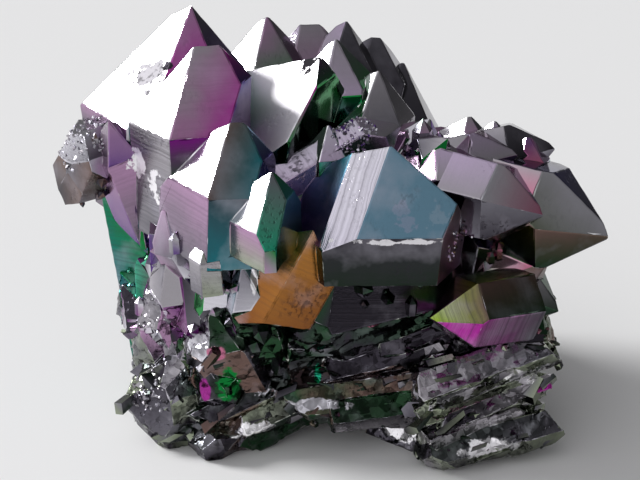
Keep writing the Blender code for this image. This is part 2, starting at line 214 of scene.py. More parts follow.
CRYSTALS = {
    "tall_back": Crystal((-18, 5, 58.5), points=(0.08, 0, 1), reach=14, taper=-8,
        films=dict(e0=Film(SILVER, pits=0.5, gloss=0.1), e1=Film(MAUVE, MAGENTA, toward=(0.3, 0, -1)),
        e2=Film(SLATE, PURPLE), s0=Film(MAUVE, SLATE, lines=0.6, gloss=0.2),
        s5=Film(LILAC, GREY, lines=0.4))),
    "tall_front": Crystal((-17, -3, 55.5), reach=9, length=26, taper=-2, films=dict(e0=WHITE,
        e1=Film(GREY, MAGENTA, toward=(0.8, 0.2, -0.8), lines=0.15),
        e2=Film(INDIGO, MAGENTA, toward=(0.3, 0, 1)), s0=Film(GREY, SLATE, lines=1.0, pits=0.5, gloss=0.22),
        s1=Film(PLUM, DARK_GREEN, lines=0.4), s2=Film(INDIGO, PLUM))),
    "inner_left": Crystal((-11.9, -11, 47.7), points=(0.04, 0, 1), reach=8, length=18, films=dict(e0=WHITE,
        e1=Film(BROWN, TEAL, toward=(1, 0, -0.3)), e2=Film(STEEL_BLUE, INDIGO),
        s0=Film(SLATE, MAUVE, toward=(0.6, 0, 1), lines=0.5, gloss=0.15),
        s1=Film(SOOT, TEAL, toward=(-0.6, 0, -1)), s2=Film(INDIGO, SOOT))),
    "tall_middle": Crystal((-1, 1, 53), points=(0.15, -0.2, 0.96), reach=12, slack=2.7,
        films=dict(e0=Film(SILVER, gloss=0.5, pits=0.2, lines=0.0),
        e1=Film(MAGENTA, GREEN, toward=(-0.4, 0, -1)), e2=Film(PLUM, GREEN), s1=Film(GREEN, DARK_GREEN),
        s2=Film(GREEN, SOOT))),
    "inner_middle": Crystal((-6.4, -16.2, 42.8), reach=7, length=12, films=dict(e0=WHITE,
        e1=Film(SLATE, SEA_GREEN, toward=(-0.2, -0.3, -1), pits=0.8), e2=Film(GREEN, TEAL),
        s0=Film(MAUVE, MOSS, lines=0.3, gloss=0.15), s1=Film(GREEN, MAUVE, toward=(-1, 0, -0.5)))),
    "middle_shard": Crystal((1, -3, 44.5), reach=4, length=12, films=dict(e0=WHITE,
        e1=Film(FROST, LILAC, pits=0.8, gloss=0.3), e2=Film(PURPLE, GREEN))),
    "broad_front": Crystal((6, -9, 43.5), looks=(-0.674, -0.405, 0.62), reach=16, length=17, taper=-6,
        band=(-0.31, -0.67, 0.67),
        films=dict(e0=Film(TEAL, PURPLE, toward=(-0.5, 0, -1), gloss=0.38, lines=0.2),
        band=Film(PALE, FROST, gloss=0.16, lines=0.9, pits=0.3, upright=True),
        # The lower sides s0 and s1 are dark: painted dark reflection, for faces that look down toward the
        # floor.
        e1=Film(STEEL_BLUE, gloss=0.12, pits=0.25), s0=Film(DARK_GREEN, SOOT, gloss=0.2),
        s1=Film(SOOT, BLACK_GREEN, lines=0.2, gloss=0.3, pits=0.4),
        s2=Film(BROWN, MAUVE, pits=0.6, gloss=0.3))),
    "behind_front": Crystal((11, 1, 43), points=(0.85, 0.3, 0.42), looks=(-0.2, -0.7, 0.7), reach=5,
        length=24, rest=Film(LILAC, GREY, gloss=0.25, pits=0.7),
        films=dict(s0=Film(FROST, LILAC, gloss=0.3, lines=0.4, pits=0.8),
        s1=Film(LILAC, MAUVE, gloss=0.25, pits=0.6))),
    "right_end": Crystal((39, -9, 31), points=RIGHTWARDS, looks=RIGHT_SHINE, reach=9, length=34,
        films=dict(e0=Film(PALE, MOSS, toward=(-1, 0, -1), pits=0.2), e1=Film(BROWN, DARK_GREEN),
        e5=Film(INDIGO, SOOT), s0=Film(GREY, ROSE), s1=Film(BROWN, SOOT), s5=Film(INDIGO, SLATE))),
    "right_front": Crystal((29.5, -12, 35.5), points=RIGHTWARDS, looks=(-0.3, -0.5, 0.8), reach=6,
        length=13, films=dict(e0=Film(PALE, ROSE, toward=(1, 0, -0.6), gloss=0.15),
        e1=Film(SLATE, SOOT, pits=0.8, gloss=0.15), s0=Film(LILAC, GREY, pits=0.5, gloss=0.2),
        s1=Film(SOOT, SLATE))),
    "right_inner": Crystal((22, -7, 40.5), points=(0.8, -0.4, 0.45), looks=RIGHT_SHINE, reach=4.5,
        length=16, rest=Film(GREY, MAUVE), films=dict(s0=Film(MAUVE, GREY, pits=0.7, gloss=0.25),
        e0=Film(LILAC, GREY))),
    "right_upper": Crystal((27, -2, 40), points=(0.9, -0.3, 0.3), looks=RIGHT_SHINE, reach=4.5, length=24,
        rest=Film(MAUVE, SLATE), films=dict(s0=Film(GREY, SLATE), e0=Film(LILAC, GREY))),
    "right_back": Crystal((33, 3, 39), points=(0.9, -0.1, 0.25), looks=RIGHT_SHINE, reach=5, length=26,
        rest=Film(SLATE, SOOT), films=dict(s0=Film(GREY, SLATE))),
    "right_ridge": Crystal((21, 6, 42.6), reach=5, length=10, rest=Film(SLATE, SOOT), films=dict(e0=WHITE,
        e1=Film(GREY, MAUVE))),
    "right_blade": Crystal((24.5, 4, 42.4), reach=5, length=10, rest=Film(SLATE, SOOT), films=dict(e0=WHITE,
        e1=Film(GREY, LILAC))),
    "right_tooth": Crystal((29, 2, 41), reach=4, length=10, films=dict(e0=WHITE, e1=Film(PURPLE, ROSE),
        e2=Film(MAGENTA, LILAC))),
    "top_back": Crystal((-8, 14, 54.5), points=(0, 0.1, 1), reach=7.5, length=20, films=dict(e0=WHITE,
        e1=Film(MAUVE, GREEN, toward=(0.3, 0, -1)), e2=Film(SLATE, MAUVE))),
    "top_ridge": Crystal((-3, 17, 52.5), points=(0, 0.15, 1), reach=6, length=20,
        films=dict(e0=Film(LILAC, GREY), e1=Film(GREY, MAUVE), e2=Film(MAUVE, SLATE))),
    "top_middle": Crystal((2, 10, 52.5), reach=6, length=20, films=dict(e0=Film(PALE, SILVER),
        e1=Film(GREY, LILAC), e2=Film(SLATE, GREEN), s1=Film(GREEN, TEAL))),
    "top_right": Crystal((3.5, 17, 53), points=(0.1, 0.2, 1), reach=7, length=20,
        films=dict(e0=Film(LILAC, GREY), e1=Film(SLATE, SOOT), e2=Film(SOOT, SLATE))),
    # The back shoulder crystals are soot-dark: painted shade, for faces in the shadow of the crystals in
    # front.
    "shoulder_top": Crystal((7.5, 19, 50), points=(0.1, 0.25, 1), reach=7, length=20,
        rest=Film(SOOT, SLATE), films=dict(e1=Film(SLATE, SOOT))),
    "shoulder_back": Crystal((12, 19, 46), points=(0.2, 0.3, 0.9), reach=8, length=20,
        rest=Film(SOOT, SLATE), films=dict(e1=Film(SLATE, SOOT))),
    "shoulder_middle": Crystal((8, 8, 48.5), points=(0.1, 0, 1), reach=6, length=20, films=dict(e0=WHITE,
        e1=Film(GREY, SLATE), e2=Film(SLATE, GREY), s1=Film(GREEN, SLATE))),
    "shoulder_front": Crystal((15, 2, 43.5), points=(0.3, 0, 0.95), reach=6, length=18,
        films=dict(e0=Film(PALE, GREY), e1=Film(GREY, GREEN, toward=(0, 0, -1)), e2=Film(PURPLE, SLATE))),
    "left_spur": Crystal((-29, -3, 45), points=(-0.25, -0.2, 0.9), reach=4.2, length=18,
        rest=Film(MAUVE, PURPLE, gloss=0.2), films=dict(e0=Film(GREY, MAUVE, gloss=0.25),
        s1=Film(MAUVE, SLATE, gloss=0.2, lines=0.3))),
    "left_tooth": Crystal((-15, -16, 34), points=(-0.05, -0.1, 1), reach=3, length=7,
        rest=Film(MOSS, GREY, gloss=0.15), films=dict(e0=Film(PALE, gloss=0.3, pits=0.4),
        s1=Film(GREY, MOSS, gloss=0.25, lines=0.4, pits=0.4), s0=Film(GREY, SLATE, gloss=0.25, lines=0.4))),
    "left_flank": Crystal((-26, 3, 42), points=(-5, 3, 38), looks=(-0.6, -0.8, 0), reach=8, length=32,
        rest=Film(TEAL, DARK_GREEN, lines=0.5),
        films=dict(s0=Film(GREEN, TEAL, toward=(-0.8, 0, -0.6), lines=0.7, gloss=0.15),
        s1=Film(SLATE, MAUVE, lines=0.5))),
    "gold": Crystal((-4, -10, 28), points=(4, 2, 7), looks=(-0.6, -0.8, -0.1), reach=8.5, length=8,
        rest=Film(ORANGE, BROWN, gloss=0.15),
        films=dict(s0=Film(GOLD, ORANGE, toward=(-1, 0, -0.7), gloss=0.24, lines=0.35, pits=0.5),
        s1=Film(GOLD, ORANGE, gloss=0.24, lines=0.35, pits=0.5))),
    "low_right": Crystal((15, -18, 23), points=(-0.8, -0.45, 0.1), looks=(-0.2, -0.8, 0.6), reach=6,
        length=15, rest=Film(MAGENTA, MAUVE, lines=1.0),
        films=dict(e0=Film(LIME, BROWN, toward=(1, 0, 0.3), lines=1.0, gloss=0.18),
        e1=Film(LIME, MAGENTA, lines=0.8, gloss=0.18), e2=Film(LIME, GREEN, lines=1.0, gloss=0.18),
        e5=Film(MAGENTA, lines=1.0, gloss=0.18), s0=Film(BROWN, DARK_GREEN, lines=0.3, gloss=0.2),
        s1=Film(LIME, GREEN, lines=0.8, gloss=0.2),
        s5=Film(MAGENTA, SLATE, toward=(1, 0, 0), lines=1.0, gloss=0.18))),
    "low_middle": Crystal((26, -16, 22), points=(0.5, -0.8, 0.2), looks=(-0.3, -0.5, 0.8), reach=4.5,
        length=16, rest=Film(SLATE, DARK_GREEN), films=dict(s0=Film(SLATE, MOSS))),
    "low_outer": Crystal((33, -10, 20), points=(0.8, -0.6, -0.1), looks=(-0.3, -0.5, 0.8), reach=5,
        length=18, rest=Film(DARK_GREEN, SOOT), films=dict(e0=Film(GREY, DARK_GREEN))),
    "low_end": Crystal((31, -9, 27), points=(0.7, -0.5, 0.5), looks=(-0.4, -0.6, 0.6), reach=6, length=18,
        rest=Film(BROWN, SOOT), films=dict(e0=Film(GREEN, ROSE, toward=(1, 0, -0.5)),
        s0=Film(ROSE, GREEN, toward=(-1, 0, 0.3)), e1=Film(BROWN, SLATE))),
}


@dataclass(frozen=True)
class Zone:
    """A part of the cluster and the tints that its small facets take, the common ones named more often."""

    centre: Numbers
    reach: float
    tints: tuple[Tint, ...]
    lines: float = 0.1
    gloss: float = 0.16

    def distance(self, place: Vector) -> float:
        """How far a place lies from the middle, as a share of the zone's reach."""
        return (place - Vector(self.centre)).length / self.reach


# The soot, black-green and dark green tints of the low, front and recessed zones are painted shade and
# painted dark reflection: they stand in for the shade under the crystals and for dark surroundings that the
# base mirrors.
ZONES = (
    Zone((-27, -2, 26), 9, (GREEN, TEAL, DARK_GREEN, SLATE, SEA_GREEN), lines=0.5),
    Zone((-20, -10, 30), 9, (MAUVE, SLATE, SLATE, PALE, GREY, PURPLE)),
    Zone((-21, -10, 21), 9, (GREY, SLATE, MAUVE, SOOT, PALE, PLUM)),
    Zone((-12, -14, 29), 6, (MAUVE, GREEN, TEAL, SLATE, PALE)),
    Zone((-24, -10, 6), 9, (SLATE, SOOT, MOSS, SLATE, BLACK_GREEN, GREY), gloss=0.18),
    Zone((-12, -12, 12), 9, (DARK_GREEN, BLACK_GREEN, SOOT, SLATE, DARK_GREEN, BROWN, SOOT), gloss=0.18),
    Zone((-9, -13, 3), 8, (SLATE, SOOT, MOSS, BROWN, GREY), gloss=0.18),
    # Under the gold crystal: painted shade.
    Zone((-8, -14, 18), 8, (BLACK_GREEN, DARK_GREEN, SOOT, DARK_GREEN, SOOT)),
    # The recess under the broad front crystal: painted shade.
    Zone((8, -10, 20), 9, (SOOT, BLACK_GREEN, SOOT, DARK_GREEN, SOOT)),
    Zone((4, -12, 10), 8, (SLATE, BLACK_GREEN, BROWN, SOOT, DARK_GREEN), gloss=0.2),
    Zone((22, -15, 8), 11, (MOSS, SLATE, BLACK_GREEN, MOSS, SOOT, GREY), gloss=0.18),
    Zone((29, -9, 23), 8, (BROWN, DARK_GREEN, SLATE, SOOT, ROSE)),
    Zone((22, 0, 41), 10, (GREY, MAUVE, SLATE, LILAC, GREEN, SLATE, PURPLE)),
    Zone((10, 3, 45), 8, (GREY, SLATE, GREEN, MAUVE, DARK_GREEN, GREY)),
    Zone((-2, 14, 51), 9, (GREY, MAUVE, SLATE, LILAC, GREEN)),
    Zone((-32, 0, 42), 5, (GREY, SLATE, PALE, BROWN), gloss=0.3),
    # The lower part of the knob is darker: painted shade.
    Zone((-32, 0, 35), 5, (SOOT, BROWN, SLATE, SOOT), gloss=0.3),
    Zone((-14, 20, 32), 14, (GREY, LILAC, STEEL_BLUE, PURPLE, SLATE, TEAL)),
    Zone((12, 20, 30), 14, (GREY, MAUVE, GREEN, SLATE, MAGENTA, LILAC)),
    Zone((-12, 18, 10), 13, (SLATE, MOSS, GREY, SOOT, DARK_GREEN), gloss=0.22),
    Zone((16, 16, 10), 13, (SLATE, GREY, BROWN, SOOT, MOSS), gloss=0.22),
)
# Dark, deep tints for facets in the hollows between the crystals: painted shade, chosen by how much of their
# sky is hidden.
HOLLOW_SHADE_TINTS = (GREEN, DARK_GREEN, TEAL, PLUM, INDIGO, SOOT, SOOT)


@dataclass
class Facet:
    """One flat face: the way it looks, its crystal's axis, its film and whether it is broken quartz."""

    way: Vector
    axis: Vector
    film: Film
    rough: bool = False


@dataclass(frozen=True)
class FilmRule:
    """Chooses the film of each facet: from its crystal where that has one, and else from its zone."""

    same_way: float = math.cos(math.radians(2.5))
    farthest: float = 1.3
    base_top: float = 21.0
    broken_area: float = 0.5
    hollow: float = 0.5
    hollow_share: float = 0.6

    def owner(self, place: Vector, way: Vector) -> tuple[Crystal, Film | None] | None:
        """The crystal that a facet belongs to, with the film of that face.

        Args:
            place: The facet's centre, in millimetres.
            way: The way it looks.

        Returns:
            The crystal and the film, or None.
        """
        found, nearest = None, self.farthest
        for crystal in CRYSTALS.values():
            share = crystal.distance(place)
            if share >= nearest:
                continue
            for name, face_way in crystal.face_ways().items():
                if face_way.dot(way) > self.same_way and crystal.could_hold(name, face_way, place):
                    found, nearest = (crystal, crystal.films.get(name) or crystal.rest), share
        return found

    def facet(self, place: Vector, way: Vector, area: float, shelter: float) -> Facet:
        """The facet with its film.

        Args:
            place: The facet's centre, in millimetres.
            way: The way it looks.
            area: Its area, in square millimetres.
            shelter: The share of its sky that other crystals hide.

        Returns:
            The finished facet.
        """
        crystal, film = self.owner(place, way) or (None, None)
        film = film or self.by_zone(place, way, shelter)
        if crystal:
            return Facet(way, crystal.axis(), film)
        return Facet(way, Vector(COMMON_AXIS).normalized(), film,
                     rough=place.z < self.base_top and area > self.broken_area)

    def by_zone(self, place: Vector, way: Vector, shelter: float) -> Film:
        """A film from the tints of the facet's zone, the same each time for the same facet; in a hollow it
        often takes a painted shade tint.
        """
        first, second, third = noise.cell_vector(place * 1.7 + Vector((11, 3, 7)))
        zone = min(ZONES, key=lambda zone: zone.distance(place))
        tints = zone.tints
        # Sheltered facets above the base often take the hollow tints: painted shade in the hollows.
        if shelter > self.hollow and third < self.hollow_share and place.z > self.base_top:
            tints = HOLLOW_SHADE_TINTS
        near = tints[int(first * len(tints)) % len(tints)]
        far = tints[int(second * len(tints)) % len(tints)]
        toward = way.cross(Vector((0.3, 0.5, third - 0.5))).normalized()
        return Film(near, far, toward=tuple(toward), gloss=zone.gloss * (0.6 + 0.9 * third),
                    lines=zone.lines * second * 2, pits=0.4 * first)


def scatter(chance: random.Random, spread: float) -> Vector:
    """A random vector that points any way alike."""
    return Vector([chance.gauss(0, spread) for _ in range(3)])


def in_millimetres(source: bpy.types.Object) -> Mesh:
    """A copy of an object's mesh, in millimetres and with its doubles merged.

    Args:
        source: The object.

    Returns:
        The mesh.
    """
    mesh = bmesh.new()
    mesh.from_mesh(source.data)
    bmesh.ops.scale(mesh, verts=mesh.verts, vec=(1 / MM,) * 3)
    bmesh.ops.remove_doubles(mesh, verts=mesh.verts, dist=MERGE)
    return mesh


def new_object(name: str, mesh: Mesh, materials: Materials) -> bpy.types.Object:
    """An object in the scene that holds a finished mesh.

    Args:
        name: The object's name.
        mesh: The mesh in millimetres, which is freed.
        materials: Its materials in slot order.

    Returns:
        The linked object.
    """
    data = bpy.data.meshes.new(name)
    bmesh.ops.scale(mesh, verts=mesh.verts, vec=(MM,) * 3)
    mesh.to_mesh(data)
    mesh.free()
    for material in materials:
        data.materials.append(material)
    made = bpy.data.objects.new(name, data)
    bpy.context.scene.collection.objects.link(made)
    return made


def dressed(piece: bpy.types.Object) -> bpy.types.Object:
    """The piece, riding on the cluster."""
    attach(piece, BODY)
    LOG.info("%s: %d faces", piece.name, len(piece.data.polygons))
    return piece


@dataclass(frozen=True)
class Spot:
    """A place on the cluster's surface, the way it looks, its shelter and the way that is open from it."""

    place: Vector
    way: Vector
    shelter: float
    open_way: Vector


class Ground:
    """The cluster's surface as what the small crystals grow on."""

    rays = 40
    far = 9.0
    least_area = 1e-4
    off = 0.05
    low = 0.1
    foot = 0.4
    seed = 5

    def __init__(self, source: bpy.types.Object) -> None:
        """Reads the cluster's solid."""
        self.mesh = in_millimetres(source)
        self.tree = BVHTree.FromBMesh(self.mesh)
        self.triangles = [face for face in self.mesh.faces
                          if len(face.verts) == 3 and face.calc_area() > self.least_area]
        self.areas = list(accumulate(face.calc_area() for face in self.triangles))
        chance = random.Random(self.seed)
        self.ways = [scatter(chance, 1).normalized() for _ in range(self.rays)]

    def shelter(self, place: Vector, way: Vector) -> tuple[float, Vector]:
        """How much of the sky over a place is hidden, and the way that is open.

        Args:
            place: The place.
            way: The way that the surface looks there.

        Returns:
            The hidden share, and a unit vector.
        """
        start = place + way * self.off
        hidden, open_way, seen = 0, way.copy(), 0
        for ray in self.ways:
            if ray.dot(way) < self.low:
                continue
            seen += 1
            if self.tree.ray_cast(start, ray, self.far)[0] is None:
                open_way += ray
            else:
                hidden += 1
        return hidden / max(seen, 1), open_way.normalized()

    def spots(self, number: int, chance: random.Random, wanted: Callable[[Spot], bool],
              middle: Numbers | None = None, reach: float = 0.0) -> list[Spot]:
        """Random places on the surface.

        Args:
            number: How many to look for; those that are not wanted are left out.
            chance: The random source.
            wanted: Whether a spot is good.
            middle: The middle of the part of the cluster to keep to, or None.
            reach: How far that part reaches.

        Returns:
            The spots.
        """
        found = []
        for _ in range(number):
            index = bisect(self.areas, chance.random() * self.areas[-1])
            face = self.triangles[min(index, len(self.areas) - 1)]
            first, second = chance.random(), chance.random()
            if first + second > 1:
                first, second = 1 - first, 1 - second
            corner, one, other = (vert.co for vert in face.verts)
            place = corner + (one - corner) * first + (other - corner) * second
            if place.z < self.foot or (middle and (place - Vector(middle)).length > reach):
                continue
            spot = Spot(place, face.normal.copy(), *self.shelter(place, face.normal))
            if wanted(spot):
                found.append(spot)
        return found


@dataclass
class Growth:
    """A mesh of many small crystals, with the film of each of their faces."""

    name: str
    rule: FilmRule
    mesh: Mesh = field(default_factory=bmesh.new)
    facets: list[Facet] = field(default_factory=list)

    def add_cone(self, place: Vector, turn: Matrix, low: float, high: float, length: float, segments: int,
                 squeeze: Numbers = (1.0, 1.0, 1.0)) -> list[bmesh.types.BMVert]:
        """Adds a prism or a point that stands on a place.

        Args:
            place: The middle of its foot.
            turn: Turns its own Z to the way that it points.
            low: The radius at its foot.
            high: The radius at its head.
            length: Its length.
            segments: The number of its sides.
            squeeze: How far it is stretched along its own axes.

        Returns:
            Its corners.
        """
        matrix = Matrix.Translation(place) @ turn.to_4x4() @ Matrix.Diagonal((*squeeze, 1)) \
            @ Matrix.Translation((0, 0, length / 2))
        made = bmesh.ops.create_cone(self.mesh, cap_ends=True, segments=segments, radius1=low, radius2=high,
                                     depth=length, matrix=matrix)
        return made["verts"]

    def finish(self, materials: Materials, films: tuple[Film, ...] = ()) -> bpy.types.Object:
        """Gives each face its film and makes the object.

        Args:
            materials: Its materials.
            films: Films to choose from, or none for those of the zone.

        Returns:
            The object.
        """
        number = self.mesh.faces.layers.int.new("facet")
        self.mesh.verts.layers.float.new("edge")
        self.mesh.normal_update()
        for face in self.mesh.faces:
            place, way = face.calc_center_median(), face.normal.copy()
            film = films[int(noise.cell_vector(place * 2.9)[0] * len(films)) % len(films)] if films \
                else self.rule.by_zone(place, way, 0.0)
            face[number] = len(self.facets)
            self.facets.append(Facet(way, way.orthogonal(), film))
        write_film(self.mesh, self.facets)
        return dressed(new_object(self.name, self.mesh, materials))


@dataclass(frozen=True)
class Grower:
    """Small crystals that grow from random spots, all over the cluster or within reach of a middle."""

    name: str
    seed: int
    tries: int
    middle: Numbers | None = None
    reach: float = 0.0
    films: tuple[Film, ...] = ()

    def build(self, ground: Ground, rule: FilmRule, materials: Materials) -> bpy.types.Object:
        """Grows the crystals.

        Args:
            ground: The surface that they grow on.
            rule: Chooses their films, where they have none of their own.
            materials: Their materials.

        Returns:
            Their object.
        """
        chance, growth = random.Random(self.seed), Growth(self.name, rule)
        spots = ground.spots(self.tries, chance, lambda spot: self.wants(spot, rule), self.middle, self.reach)
        for spot in spots:
            self.add(growth, spot, chance)
        return growth.finish(materials, self.films)

    def wants(self, spot: Spot, rule: FilmRule) -> bool:
        """Whether a crystal grows at a spot."""
        return True

    def add(self, growth: Growth, spot: Spot, chance: random.Random) -> None:
        """Adds the crystal of a spot."""
        raise NotImplementedError


@dataclass(frozen=True)
class SmallPoints(Grower):
    """Small quartz points in the valleys between the large ones, some grown parallel to them."""

    name: str = "small_points"
    seed: int = 21
    tries: int = 1800
    shelters: Numbers = (0.35, 0.8)
    lowest: float = 15.0
    parallel: float = 0.7
    waist: float = 0.97
    sizes: Numbers = (0.35, 0.9)
    sunk: float = 1.2
    # One face of a new cone looks along X; this turns it to the azimuth of the bright end faces.
    shine_turn: float = math.atan2(SHINE[1], SHINE[0])
    # The height of a quartz point's end over its corner radius.
    end_height: float = 1.1

    def wants(self, spot: Spot, rule: FilmRule) -> bool:
        """Whether a spot is in a valley, above the base, and on no face of a large crystal."""
        return self.shelters[0] < spot.shelter < self.shelters[1] and spot.place.z > self.lowest \
            and not rule.owner(spot.place, spot.way)

    def add(self, growth: Growth, spot: Spot, chance: random.Random) -> None:
        """Adds one point with its prism and its end."""
        size = chance.uniform(*self.sizes) * (1.0 if chance.random() < 0.75 else 1.7)
        if chance.random() < self.parallel and spot.open_way.z > 0.2:
            axis = Vector((chance.gauss(0, 0.02), chance.gauss(0, 0.02), 1)).normalized()
        else:
            axis = (spot.open_way + scatter(chance, 0.25)).normalized()
        turn = Vector(UPRIGHT).rotation_difference(axis).to_matrix() \
            @ Matrix.Rotation(self.shine_turn, 3, "Z")
        length = size * (self.sunk + chance.uniform(0.1, 1.3))
        foot = spot.place - axis * size * self.sunk
        growth.add_cone(foot, turn, size, size * self.waist, length, SIDES)
        growth.add_cone(foot + axis * length, turn, size * self.waist, 0.0, size * self.end_height, SIDES)


@dataclass(frozen=True)
class Splinters(Grower):
    """Broken slivers that lie along the ledges of the base."""

    name: str = "base_splinters"
    seed: int = 33
    tries: int = 1300
    top: float = 17.0
    under: float = -0.5
    sizes: Numbers = (0.5, 1.4)
    stretch: Numbers = (1.6, 4.5)

    def wants(self, spot: Spot, rule: FilmRule) -> bool:
        """Whether a spot is low on the cluster and not under an overhang."""
        return spot.place.z < self.top and spot.way.z > self.under

    def add(self, growth: Growth, spot: Spot, chance: random.Random) -> None:
        """Adds one sliver, half sunk in the surface."""
        along = Vector(LEDGES) + scatter(chance, 0.3)
        along = (along - spot.way * along.dot(spot.way) * chance.uniform(0.8, 1.1)).normalized()
        across = along.cross(spot.way).normalized()
        turn = Matrix((across, spot.way - along * spot.way.dot(along), along)).transposed()
        size = chance.uniform(*self.sizes)
        length = size * chance.uniform(*self.stretch)
        foot = spot.place - along * length / 2 - spot.way * size * chance.uniform(0.55, 0.9)
        spin = Matrix.Rotation(chance.uniform(0, math.tau), 3, "Z")
        corners = growth.add_cone(foot, turn @ spin, size, size * chance.uniform(0.3, 0.95), length,
                                  chance.choice(SHARD_SIDES), squeeze=(1.0, chance.uniform(0.6, 1.0), 1.0))
        slant = scatter(chance, 0.5)
        for vert in corners:
            side = (vert.co - foot) - along * (vert.co - foot).dot(along)
            vert.co += along * side.dot(slant)
            vert.co.z = max(vert.co.z, ABOVE_CUT)


@dataclass(frozen=True)
class SugarPatch(Grower):
    """A patch of tiny points, like sugar."""

    size: float = 0.36
    sunk: float = 0.65

    def add(self, growth: Growth, spot: Spot, chance: random.Random) -> None:
        """Adds one tiny point."""
        size = self.size * chance.uniform(0.5, 1.3)
        axis = (spot.way + scatter(chance, 0.35)).normalized()
        turn = Vector(UPRIGHT).rotation_difference(axis).to_matrix()
        spin = Matrix.Rotation(chance.uniform(0, math.tau), 3, "Z")
        growth.add_cone(spot.place - axis * size * self.sunk, turn @ spin, size,
                        size * chance.uniform(0.0, 0.5), size * chance.uniform(0.9, 1.6),
                        chance.choice(SHARD_SIDES))


FROSTY = (Film(FROST, gloss=0.3), Film(LILAC, gloss=0.3), Film(PALE, gloss=0.25), Film(GREY, gloss=0.3),
          Film(PURPLE, gloss=0.2))
SPECKLED = (Film(PALE, gloss=0.45), Film(GREY, gloss=0.4), Film(SLATE, gloss=0.4), Film(GREY, gloss=0.45))
RAGGED = (Film(MAUVE, gloss=0.2), Film(BROWN, gloss=0.25), Film(PALE, gloss=0.2), Film(SOOT, gloss=0.3),
          Film(LILAC, gloss=0.2))
SUGAR = (
    SugarPatch("sugar_behind_front", 1, 42000, (5, -3.2, 43.6), 3.4, FROSTY, size=0.34),
    SugarPatch("sugar_knob", 2, 16000, (-33, -1, 41.5), 4.5, SPECKLED),
    SugarPatch("sugar_foot", 3, 16000, (-23.5, -13, 8.5), 3.2, SPECKLED, size=0.38),
    SugarPatch("rim_front", 4, 18000, (18.3, -12.3, 31), 2.6, RAGGED, size=0.45),
)


